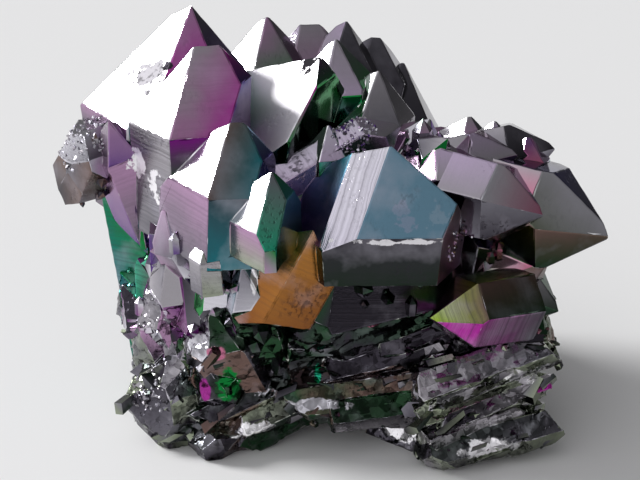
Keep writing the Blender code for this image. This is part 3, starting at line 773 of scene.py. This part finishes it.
@dataclass
class ClusterSkin:
    """The cluster's visible surface: a copy of its solid with chipped ridges and a rough broken base."""

    rule: FilmRule
    flat: float = 0.6
    step: float = 1.1
    most_cuts: int = 24
    rims: Numbers = (0.22, 0.12, 0.06, 0.03)
    rim_room: float = 0.35
    widest: float = 3.0
    chip: float = 0.09
    fine: float = 0.6
    relief: float = 0.5
    facets: list[Facet] = field(default_factory=list)

    def build(self, source: bpy.types.Object, ground: Ground, materials: Materials) -> bpy.types.Object:
        """Makes the skin.

        Args:
            source: The cluster's solid.
            ground: Its surface.
            materials: The coat of the crystals and of the broken base.

        Returns:
            The skin's object.
        """
        mesh = in_millimetres(source)
        bmesh.ops.dissolve_limit(mesh, angle_limit=math.radians(self.flat), verts=mesh.verts,
                                 edges=mesh.edges)
        number = mesh.faces.layers.int.new("facet")
        for face in mesh.faces:
            face[number] = len(self.facets)
            place, way = face.calc_center_median(), face.normal.copy()
            self.facets.append(self.rule.facet(place, way, face.calc_area(), ground.shelter(place, way)[0]))
        self.split_ridges(mesh)
        self.chip_ridges(mesh)
        self.roughen_base(mesh, number)
        write_film(mesh, self.facets)
        for face in mesh.faces:
            face.smooth = self.facets[face[number]].rough
        skin = dressed(new_object("cluster_skin", mesh, materials))
        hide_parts(NODE)
        return skin

    def split_ridges(self, mesh: Mesh) -> None:
        """Puts points along the long ridges, so that they can be chipped."""
        by_cuts: dict[int, list[bmesh.types.BMEdge]] = {}
        for edge in mesh.edges:
            cuts = min(int(edge.calc_length() / self.step), self.most_cuts)
            if cuts:
                by_cuts.setdefault(cuts, []).append(edge)
        for cuts, edges in by_cuts.items():
            bmesh.ops.bisect_edges(mesh, edges=edges, cuts=cuts)

    def chip_ridges(self, mesh: Mesh) -> None:
        """Gives each facet a narrow rim and lowers the ridges between the facets unevenly."""
        edge_mark = mesh.verts.layers.float.new("edge")
        ridges = {vert: vert.normal.copy() for vert in mesh.verts}
        sharp = {vert: max((edge.calc_face_angle_signed(0.0) for edge in vert.link_edges), default=0.0)
                 for vert in ridges}
        by_rim: dict[float, list[bmesh.types.BMFace]] = {}
        for face in mesh.faces:
            outline = sum(edge.calc_length() for edge in face.edges)
            room = self.rim_room * face.calc_area() / max(outline, TINY)
            wide = next((rim for rim in self.rims if rim < room), None)
            if wide:
                by_rim.setdefault(wide, []).append(face)
        for wide, faces in by_rim.items():
            bmesh.ops.inset_individual(mesh, faces=faces, thickness=wide, use_even_offset=True)
            for vert in dict.fromkeys(vert for face in faces for vert in face.verts):
                outer = next((edge.other_vert(vert) for edge in vert.link_edges
                              if edge.other_vert(vert) in ridges), None)
                if outer and (vert.co - outer.co).length > self.widest * wide:
                    vert.co = outer.co + (vert.co - outer.co).normalized() * self.widest * wide
        for vert in mesh.verts:
            vert[edge_mark] = 1.0 if vert in ridges else 0.0
        for vert, way in ridges.items():
            bite = max(0.0, noise.noise(vert.co * 0.9)) + 0.35 * max(0.0, noise.noise(vert.co * 3.1))
            turn = max(-1.0, min(1.0, sharp[vert]))
            vert.co -= way * self.chip * turn * (0.3 + 1.8 * bite)

    def roughen_base(self, mesh: Mesh, number: bmesh.types.BMLayerItem) -> None:
        """Divides the base's broken facets finely and breaks them into tilted plates.

        The edges are kept in the order of their faces, because the order of a set changes from run to run.

        Args:
            mesh: The skin.
            number: The layer that holds each face's facet.
        """
        bmesh.ops.triangulate(mesh, faces=mesh.faces)
        fine = self.fine * 1
        for _ in range(7):
            long = dict.fromkeys(edge for face in mesh.faces if self.facets[face[number]].rough
                                 for edge in face.edges if edge.calc_length() > fine)
            if not long:
                break
            bmesh.ops.subdivide_edges(mesh, edges=list(long), cuts=1)
            bmesh.ops.triangulate(mesh, faces=[face for face in mesh.faces if len(face.verts) > 3])
        for vert in mesh.verts:
            if vert.co.z < ABOVE_CUT or not all(self.facets[face[number]].rough for face in vert.link_faces):
                continue
            vert.co += vert.normal * self.relief * self.plate_height(vert.co)
            vert.co.z = max(vert.co.z, 0.0)

    @staticmethod
    def plate_height(place: Vector) -> float:
        """How far the base stands out at a place: flat tilted plates, which are long along the ledges."""
        along = Vector(LEDGES).normalized()
        place = place - along * place.dot(along) * 0.6
        total = 0.0
        for size, share in ((3.0, 1.0), (1.3, 0.35)):
            plates = []
            for spot in noise.voronoi(place / size)[1][:3]:
                tilt = noise.cell_vector(spot * 7.3) * 2 - Vector((1, 1, 1))
                plates.append(tilt.dot(place / size - spot) + 0.4 * noise.cell(spot * 5.1))
            total += share * (max(plates) - 0.5)
        return total


def write_film(mesh: Mesh, facets: list[Facet]) -> None:
    """Writes each facet's tints and marks on the corners of its faces.

    Args:
        mesh: A mesh whose face layer "facet" has each face's facet and whose vertex layer "edge" its ridges.
        facets: The facets.
    """
    number = mesh.faces.layers.int["facet"]
    layers = mesh.loops.layers
    near, far = layers.float_color.new("near_tint"), layers.float_color.new("far_tint")
    share, growth = layers.float.new("far_share"), layers.float.new("growth")
    gloss, lines, pits = (layers.float.new(name) for name in ("gloss", "lines", "pits"))
    spans: dict[int, tuple[float, float]] = {}
    for face in mesh.faces:
        toward = Vector(facets[face[number]].film.toward)
        reach = [vert.co.dot(toward) for vert in face.verts]
        low, high = spans.get(face[number], (math.inf, -math.inf))
        spans[face[number]] = (min(low, *reach), max(high, *reach))
    for face in mesh.faces:
        facet = facets[face[number]]
        film, (low, high) = facet.film, spans[face[number]]
        toward = Vector(film.toward)
        steps = facet.way.cross(facet.axis) if film.upright else facet.axis
        face.material_index = 1 if facet.rough else 0
        for loop in face.loops:
            loop[near] = film.near.value
            loop[far] = (film.far or film.near).value
            loop[share] = (loop.vert.co.dot(toward) - low) / max(high - low, TINY)
            loop[growth] = loop.vert.co.dot(steps)
            loop[gloss], loop[lines], loop[pits] = film.gloss, film.lines, film.pits


class Nodes:
    """A small hand for wiring shader nodes."""

    def __init__(self, tree: bpy.types.NodeTree) -> None:
        """Keeps the tree that the nodes go in."""
        self.tree = tree

    def add(self, kind: str, inputs: dict[str | int, object] | None = None,
            **settings: object) -> bpy.types.Node:
        """Adds a node.

        Args:
            kind: Its type.
            inputs: Values or other nodes' output sockets for its inputs.
            **settings: Its properties.

        Returns:
            The node.
        """
        node = self.tree.nodes.new(kind)
        for name, value in settings.items():
            setattr(node, name, value)
        for name, value in (inputs or {}).items():
            if isinstance(value, Socket):
                self.tree.links.new(value, node.inputs[name])
            else:
                node.inputs[name].default_value = value
        return node

    def group(self, tree: bpy.types.NodeTree, **inputs: object) -> bpy.types.NodeOutputs:
        """Places a shared group with its inputs and gives its outputs."""
        return self.add("ShaderNodeGroup", inputs, node_tree=tree).outputs

    def math(self, operation: str, first: object, second: object, clamp: bool = False) -> Socket:
        """A sum, product or other operation of two values."""
        return self.add("ShaderNodeMath", {0: first, 1: second}, operation=operation,
                        use_clamp=clamp).outputs[0]

    def plus(self, first: object, second: object) -> Socket:
        """The sum of two values."""
        return self.math("ADD", first, second)

    def times(self, first: object, second: object) -> Socket:
        """The product of two values."""
        return self.math("MULTIPLY", first, second)

    def past(self, value: object, limit: object, slope: float) -> Socket:
        """How far a value is past a limit, times a slope, kept between 0 and 1."""
        return self.math("MULTIPLY", self.math("SUBTRACT", value, limit), slope, clamp=True)

    def swing(self, value: object, size: object) -> Socket:
        """A value from 0 to 1 as one that swings about nothing."""
        return self.times(self.math("SUBTRACT", value, 0.5), size)

    def vector(self, operation: str, first: object, second: object = (0.0, 0.0, 0.0)) -> Socket:
        """An operation of two vectors. A length or dot product comes out as a value."""
        node = self.add("ShaderNodeVectorMath", {0: first, 1: second}, operation=operation)
        return node.outputs["Value" if operation in ("LENGTH", "DOT_PRODUCT") else 0]

    def noise(self, place: Socket, scale: object, detail: float, roughness: float = 0.5) -> Socket:
        """Soft noise from 0 to 1."""
        return self.add("ShaderNodeTexNoise", {"Vector": place, "Scale": scale, "Detail": detail,
                                               "Roughness": roughness}).outputs[0]

    def mix(self, share: object, first: object, second: object) -> Socket:
        """A mix of two colours."""
        return self.add("ShaderNodeMix", {0: share, 6: first, 7: second}, data_type="RGBA",
                        clamp_factor=True).outputs[2]

    def attribute(self, name: str, kind: str = "Fac") -> Socket:
        """A value or colour that is written on the mesh."""
        return self.add("ShaderNodeAttribute", attribute_name=name).outputs[kind]


class ShaderGroup(Nodes):
    """A shader group with named inputs and outputs, built once and placed in each material.

    Each one takes the place that is shaded, and the inputs of its own.
    """

    name = ""
    inputs: dict[str, str] = {}
    outputs: dict[str, str] = {}

    def __init__(self) -> None:
        """Makes the group with its sockets and wires it."""
        super().__init__(bpy.data.node_groups.new(self.name, "ShaderNodeTree"))
        for way, sockets in (("INPUT", {"Place": VECTOR} | self.inputs), ("OUTPUT", self.outputs)):
            for label, kind in sockets.items():
                self.tree.interface.new_socket(label, in_out=way, socket_type=kind)
        self.given = self.add("NodeGroupInput").outputs
        self.place = self.given["Place"]
        self.made = self.add("NodeGroupOutput").inputs
        self.wire()

    def grain(self, scale: object, detail: float, roughness: float = 0.5) -> Socket:
        """Soft noise at the place, from 0 to 1."""
        return self.noise(self.place, scale, detail, roughness)

    def put(self, label: str, socket: Socket) -> None:
        """Links a socket to an output of the group."""
        self.tree.links.new(socket, self.made[label])

    def wire(self) -> None:
        """Wires the group's own nodes."""
        raise NotImplementedError


class FilmColour(ShaderGroup):
    """The colour of the metal film: two tints that run into each other in clouds."""

    name = "film_colour"
    inputs = {"Near": COLOUR, "Far": COLOUR, "Share": VALUE, "Scale": VALUE, "Cloud": VALUE}
    outputs = {"Color": COLOUR, "Clouds": VALUE}

    def wire(self) -> None:
        """Moves the share of the far tint by the clouds."""
        clouds = self.grain(self.given["Scale"], 4.0)
        share = self.math("ADD", self.given["Share"], self.swing(clouds, self.given["Cloud"]), clamp=True)
        self.put("Color", self.mix(share, self.given["Near"], self.given["Far"]))
        self.put("Clouds", clouds)


class GrowthLines(ShaderGroup):
    """The fine steps that cross a crystal's faces, square to its axis."""

    name = "growth_lines"
    inputs = {"Growth": VALUE, "Spacing": VALUE}
    outputs = {"Height": VALUE}

    def wire(self) -> None:
        """Makes uneven steps along the crystal, which waver a little."""
        height = self.plus(self.given["Growth"], self.grain(180.0, 3.0))
        steps = self.add("ShaderNodeTexNoise", {"W": self.math("DIVIDE", height, self.given["Spacing"]),
                                                "Scale": 1.0, "Detail": 3.0, "Roughness": 0.7},
                         noise_dimensions="1D")
        self.put("Height", self.past(steps.outputs[0], 0.42, 4.0))


class EtchPits(ShaderGroup):
    """Etched pits and specks in patches; the coat darkens them as painted shade."""

    name = "etch_pits"
    inputs = {"Amount": VALUE}
    outputs = {"Mask": VALUE}

    def wire(self) -> None:
        """Keeps the specks to the patches."""
        where = self.past(self.grain(170.0, 3.0), 0.5, 6.0)
        specks = self.past(self.grain(1500.0, 4.0), 0.52, 9.0)
        self.put("Mask", self.math("MULTIPLY", self.times(where, specks), self.given["Amount"], clamp=True))


class ChippedEdgeHighlight(ShaderGroup):
    """Where a ridge is chipped through its film and carries a painted highlight, unevenly along it."""

    name = "chipped_edge_highlight"
    inputs = {"Edge": VALUE, "Scale": VALUE, "Reach": VALUE}
    outputs = {"Mask": VALUE, "Tone": VALUE}

    def wire(self) -> None:
        """Lets the chips and the painted highlight reach in as far as the grain says."""
        reach = self.plus(self.times(self.grain(self.given["Scale"], 3.0), 1.6), self.given["Reach"])
        self.put("Mask", self.past(self.given["Edge"], reach, 6.0))
        self.put("Tone", self.grain(90.0, 1.0))


class BrokenPlates(ShaderGroup):
    """The height of small flat plates that are tilted every way, as on broken quartz."""

    name = "broken_plates"
    inputs = {"Scale": VALUE}
    outputs = {"Height": VALUE}

    def wire(self) -> None:
        """Tilts each cell by its own colour."""
        scale = self.given["Scale"]
        cells = self.add("ShaderNodeTexVoronoi", {"Vector": self.place, "Scale": scale}, feature="F1").outputs
        tilt = self.vector("SUBTRACT", cells["Color"], (0.5, 0.5, 0.5))
        offset = self.vector("SUBTRACT", self.vector("MULTIPLY", self.place, scale),
                             self.vector("MULTIPLY", cells["Position"], scale))
        self.put("Height", self.vector("DOT_PRODUCT", tilt, offset))


class RaggedPatch(ShaderGroup):
    """A ragged patch round a place."""

    name = "ragged_patch"
    inputs = {"Centre": VECTOR, "Size": VECTOR, "Raggedness": VALUE}
    outputs = {"Mask": VALUE}

    def wire(self) -> None:
        """Measures how far a place is from the centre, give or take the grain."""
        away = self.vector("DIVIDE", self.vector("SUBTRACT", self.place, self.given["Centre"]),
                           self.given["Size"])
        ragged = self.swing(self.grain(420.0, 4.0, 0.65), self.given["Raggedness"])
        far = self.plus(self.vector("LENGTH", away), ragged)
        self.put("Mask", self.math("MULTIPLY", self.math("SUBTRACT", 1.0, far), 5.0, clamp=True))


@dataclass(frozen=True)
class Patch:
    """A place where the film is worn, etched or thick, or where a painted highlight lies: its middle and size
    in millimetres, and its tint.
    """

    centre: Numbers
    size: Numbers
    tint: Tint
    share: float = 1.0
    ragged: float = 2.5
    rough: float = 0.15


PATCHES = (
    Patch((-23.3, 0.4, 50.6), (3.2, 3.2, 1.9), SOOT, ragged=5.0, share=0.8, rough=0.5),
    Patch((-20.7, -0.3, 52.3), (0.9, 0.9, 0.7), SOOT, rough=0.5),
    Patch((-1.5, 0.8, 52.3), (1.6, 2.0, 1.6), SOOT, ragged=6.0, share=0.95, rough=0.55),
    # The silver patches are painted highlights: white glints put into the film's colour.
    Patch((-24.5, -5.7, 40.0), (1.6, 1.6, 1.6), SILVER, ragged=5.0, rough=0.2),
    Patch((-22.3, -8.1, 38.0), (1.2, 1.2, 2.6), SILVER, ragged=6.0, rough=0.2),
    Patch((10.5, -16.5, 33.3), (6.5, 1.2, 0.42), SILVER, ragged=4.5, share=0.9, rough=0.3),
    Patch((11.0, -14.2, 36.8), (1.3, 2.0, 2.6), LILAC, ragged=6.0, share=0.2, rough=0.05),
    Patch((15.5, -14.0, 36.8), (1.2, 2.0, 1.9), PALE, ragged=6.0, share=0.12, rough=0.03),
    # A painted highlight: a white sliver on the gold crystal.
    Patch((-8.8, -15.9, 27.6), (0.5, 2.0, 2.6), SILVER, ragged=1.5, rough=0.2),
)
BREAK_PATCHES = (
    Patch((-14.3, -16.5, 16.4), (1.5, 2.0, 1.1), ROSE, ragged=0.8, rough=0.0),
    Patch((-16.0, -15.1, 10.1), (0.9, 2.0, 1.9), MAGENTA, ragged=0.8, rough=0.0, share=0.8),
    Patch((-12.5, -15.2, 11.2), (1.9, 2.5, 2.6), GREEN, ragged=2.0, rough=0.0),
    Patch((-0.3, -13.6, 11.6), (0.5, 2.0, 1.7), SEA_GREEN, ragged=0.8, rough=0.0),
    Patch((31.5, -14.0, 9.4), (1.6, 2.0, 0.8), MAGENTA, ragged=1.5, rough=0.0),
    Patch((7.1, -13.5, 19.9), (1.2, 2.0, 0.9), ROSE, ragged=0.8, rough=0.0),
    # The silver and pale patches are painted highlights: bright glints on the ledges of the broken base.
    Patch((11.4, -13.2, 2.3), (3.6, 4.0, 1.6), SILVER, ragged=2.5, rough=0.05),
    Patch((28.0, -12.4, 11.4), (4.5, 4.0, 1.3), SILVER, ragged=2.5, rough=0.05),
    Patch((23.4, -20.3, 3.6), (4.5, 4.0, 1.2), SILVER, ragged=2.5, rough=0.05),
    Patch((-9.8, -16.1, 4.2), (3.6, 3.0, 0.9), SILVER, ragged=2.5, rough=0.05),
    Patch((-2.0, -16.0, 8.5), (6.0, 4.0, 0.9), PALE, ragged=2.5, rough=0.05),
)


@dataclass(frozen=True)
class CoatedQuartz:
    """Quartz under its opaque metal film, clean on crystals and rough where the quartz broke.

    `bloom` is how much of the film a pale bloom hides where it is thickest.
    """

    name: str
    cloud_scale: float = 130.0
    cloud: float = 0.9
    bloom: float = 0.28
    spacing: float = 0.55
    line_depth: float = 0.12
    line_shade: float = 0.45
    grain_depth: float = 0.04
    grain_scale: float = 900.0
    plate_depth: float = 0.0
    plate_scale: float = 700.0
    roughness_swing: float = 0.03
    chip_highlight_reach: float = 0.25
    chip_highlight_scale: float = 700.0
    chip_highlight_share: float = 0.9
    chip_highlight_white: float = 0.75
    pit_shade: float = 0.8
    pit_rough: float = 0.4
    pit_depth: float = 0.5
    relief: float = 0.12
    patches: tuple[Patch, ...] = ()

    def build(self, groups: dict[type[ShaderGroup], bpy.types.NodeTree]) -> bpy.types.Material:
        """Makes the material.

        Args:
            groups: The shared shader groups.

        Returns:
            The material.
        """
        material = bpy.data.materials.new(self.name)
        material.use_nodes = True
        hand = Nodes(material.node_tree)
        link, finish = hand.tree.links.new, hand.tree.nodes["Principled BSDF"].inputs
        place = hand.add("ShaderNodeTexCoord").outputs["Object"]
        film = hand.group(groups[FilmColour], Place=place, Near=hand.attribute("near_tint", "Color"),
                          Far=hand.attribute("far_tint", "Color"), Share=hand.attribute("far_share"),
                          Scale=self.cloud_scale, Cloud=self.cloud)
        pits = hand.group(groups[EtchPits], Place=place, Amount=hand.attribute("pits"))["Mask"]
        edge = hand.group(groups[ChippedEdgeHighlight], Place=place, Edge=hand.attribute("edge"),
                          Scale=self.chip_highlight_scale, Reach=self.chip_highlight_reach)
        lines = hand.group(groups[GrowthLines], Place=place, Growth=hand.attribute("growth"),
                           Spacing=self.spacing)["Height"]
        lines = hand.times(lines, hand.attribute("lines"))

        bloom = hand.times(hand.past(film["Clouds"], 0.5, 5.0), self.bloom)
        colour = hand.mix(bloom, film["Color"], FROST.value)
        # The growth lines darken the colour towards soot: painted shade along the steps, besides their bump.
        colour = hand.mix(hand.times(lines, self.line_shade), colour, SOOT.value)
        rough = hand.attribute("gloss")
        for patch in self.patches:
            mask = hand.group(groups[RaggedPatch], Place=place, Centre=Vector(patch.centre) * MM,
                              Size=Vector(patch.size) * MM, Raggedness=patch.ragged)["Mask"]
            colour = hand.mix(hand.times(mask, patch.share), colour, patch.tint.value)
            rough = hand.plus(rough, hand.times(mask, patch.rough))
        # Ridges turn pale, lime or lilac: partly film chipped off the quartz, partly a painted highlight
        # along the ridges.
        fringe_highlight = hand.mix(hand.past(edge["Tone"], 0.45, 8.0), LIME.value, LILAC.value)
        colour = hand.mix(hand.times(edge["Mask"], self.chip_highlight_share), colour,
                          hand.mix(self.chip_highlight_white, fringe_highlight, PALE.value))
        # The pits darken the colour towards soot: painted shade in the pits, besides their roughness and
        # bump.
        link(hand.mix(hand.times(pits, self.pit_shade), colour, SOOT.value), finish["Base Color"])
        finish["Metallic"].default_value = 1.0

        rough = hand.plus(rough, hand.swing(film["Clouds"], self.roughness_swing))
        link(hand.math("ADD", rough, hand.times(pits, self.pit_rough), clamp=True), finish["Roughness"])

        depth = hand.math("SUBTRACT", hand.times(lines, self.line_depth), hand.times(pits, self.pit_depth))
        depth = hand.plus(depth, hand.times(hand.noise(place, self.grain_scale, 5.0), self.grain_depth))
        if self.plate_depth:
            plates = hand.group(groups[BrokenPlates], Place=place, Scale=self.plate_scale)["Height"]
            depth = hand.plus(depth, hand.times(plates, self.plate_depth))
        bump = hand.add("ShaderNodeBump", {"Strength": 1.0, "Distance": self.relief * MM, "Height": depth})
        link(bump.outputs[0], finish["Normal"])
        return material


@dataclass(frozen=True)
class Studio:
    """A plain pale floor, soft light from the left and a camera at the photograph's angle."""

    target: Numbers = (0.0, 0.0, 26.0)
    distance: float = 217.0
    elevation: float = 25.0
    lens: float = 85.0
    sensor: float = 36.0
    key: Numbers = (-0.835, 0.215, 0.506)
    key_strength: float = 3.4
    key_angle: float = 19.0
    sky_middle: Numbers = (-0.75, -0.4, 0.53)
    sky: tuple[tuple[float, float], ...] = ((0.25, 0.1), (0.6, 0.24), (0.82, 0.6), (0.97, 1.0))
    floor_size: float = 6000.0
    floor_tone: float = 0.8
    floor_rough: float = 0.6
    blue: float = 1.02
    clip: Numbers = (0.01, 100.0)

    def camera(self) -> None:
        """Places the camera and makes it the scene's own."""
        data = bpy.data.cameras.new("camera")
        data.lens, data.sensor_width = self.lens, self.sensor
        camera = bpy.data.objects.new("camera", data)
        bpy.context.scene.collection.objects.link(camera)
        tilt = math.radians(self.elevation)
        back = Vector((0, -math.cos(tilt), math.sin(tilt)))
        camera.location = (Vector(self.target) + back * self.distance) * MM
        camera.rotation_euler = (-back).to_track_quat("-Z", "Y").to_euler()
        data.clip_start, data.clip_end = self.clip
        bpy.context.scene.camera = camera

    def lights(self) -> None:
        """A soft key light and a dome that is brighter at the left."""
        lamp = bpy.data.lights.new("key", "SUN")
        lamp.energy, lamp.angle = self.key_strength, math.radians(self.key_angle)
        key = bpy.data.objects.new("key", lamp)
        key.rotation_euler = Vector(self.key).to_track_quat("Z", "Y").to_euler()
        bpy.context.scene.collection.objects.link(key)

        world = bpy.data.worlds.new("studio")
        bpy.context.scene.world = world
        world.use_nodes = True
        hand = Nodes(world.node_tree)
        world.node_tree.nodes.clear()
        way = hand.add("ShaderNodeTexCoord").outputs["Generated"]
        near = hand.vector("DOT_PRODUCT", way, Vector(self.sky_middle).normalized())
        ramp = hand.add("ShaderNodeValToRGB", {0: hand.times(hand.plus(near, 1.0), 0.5)})
        stops = ramp.color_ramp.elements
        while len(stops) < len(self.sky):
            stops.new(0.5)
        for stop, (position, light) in zip(stops, self.sky):
            stop.position, stop.color = position, (light, light, light * self.blue, 1)
        light = hand.add("ShaderNodeBackground", {"Color": ramp.outputs[0], "Strength": 1.0})
        sky = hand.add("ShaderNodeOutputWorld")
        world.node_tree.links.new(light.outputs[0], sky.inputs[0])

    def floor(self) -> None:
        """Lays the floor under the cluster."""
        mesh = bmesh.new()
        bmesh.ops.create_grid(mesh, x_segments=1, y_segments=1, size=self.floor_size / 2)
        material = bpy.data.materials.new("floor")
        material.use_nodes = True
        finish = material.node_tree.nodes["Principled BSDF"]
        finish.inputs["Base Color"].default_value = (self.floor_tone,) * 3 + (1,)
        finish.inputs["Roughness"].default_value = self.floor_rough
        new_object("floor", mesh, [material])

    def build(self) -> None:
        """Builds the whole studio."""
        self.camera()
        self.lights()
        self.floor()
        bpy.context.scene.view_settings.view_transform = "Standard"


def main() -> None:
    """Builds the studio and the cluster's finish."""
    logging.basicConfig(level=logging.INFO, format="%(name)s: %(message)s")
    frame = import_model()
    Studio().build()
    groups = {kind: kind().tree for kind in (FilmColour, GrowthLines, EtchPits, ChippedEdgeHighlight, BrokenPlates,
                                             RaggedPatch)}
    crystal_coat = CoatedQuartz("coated_crystal", patches=PATCHES).build(groups)
    break_coat = CoatedQuartz("coated_break", cloud_scale=300.0, cloud=2.0, plate_depth=6.0,
                              roughness_swing=0.2, chip_highlight_reach=0.1, bloom=0.1,
                              patches=BREAK_PATCHES).build(groups)
    small_coat = CoatedQuartz("coated_small", cloud_scale=400.0, cloud=0.8, bloom=0.1).build(groups)

    solid = frame["nodes"][NODE]
    rule, ground = FilmRule(), Ground(solid)
    ClusterSkin(rule).build(solid, ground, [crystal_coat, break_coat])
    for grower in (SmallPoints(), Splinters(), *SUGAR):
        grower.build(ground, rule, [small_coat])


if __name__ == "__main__":
    main()
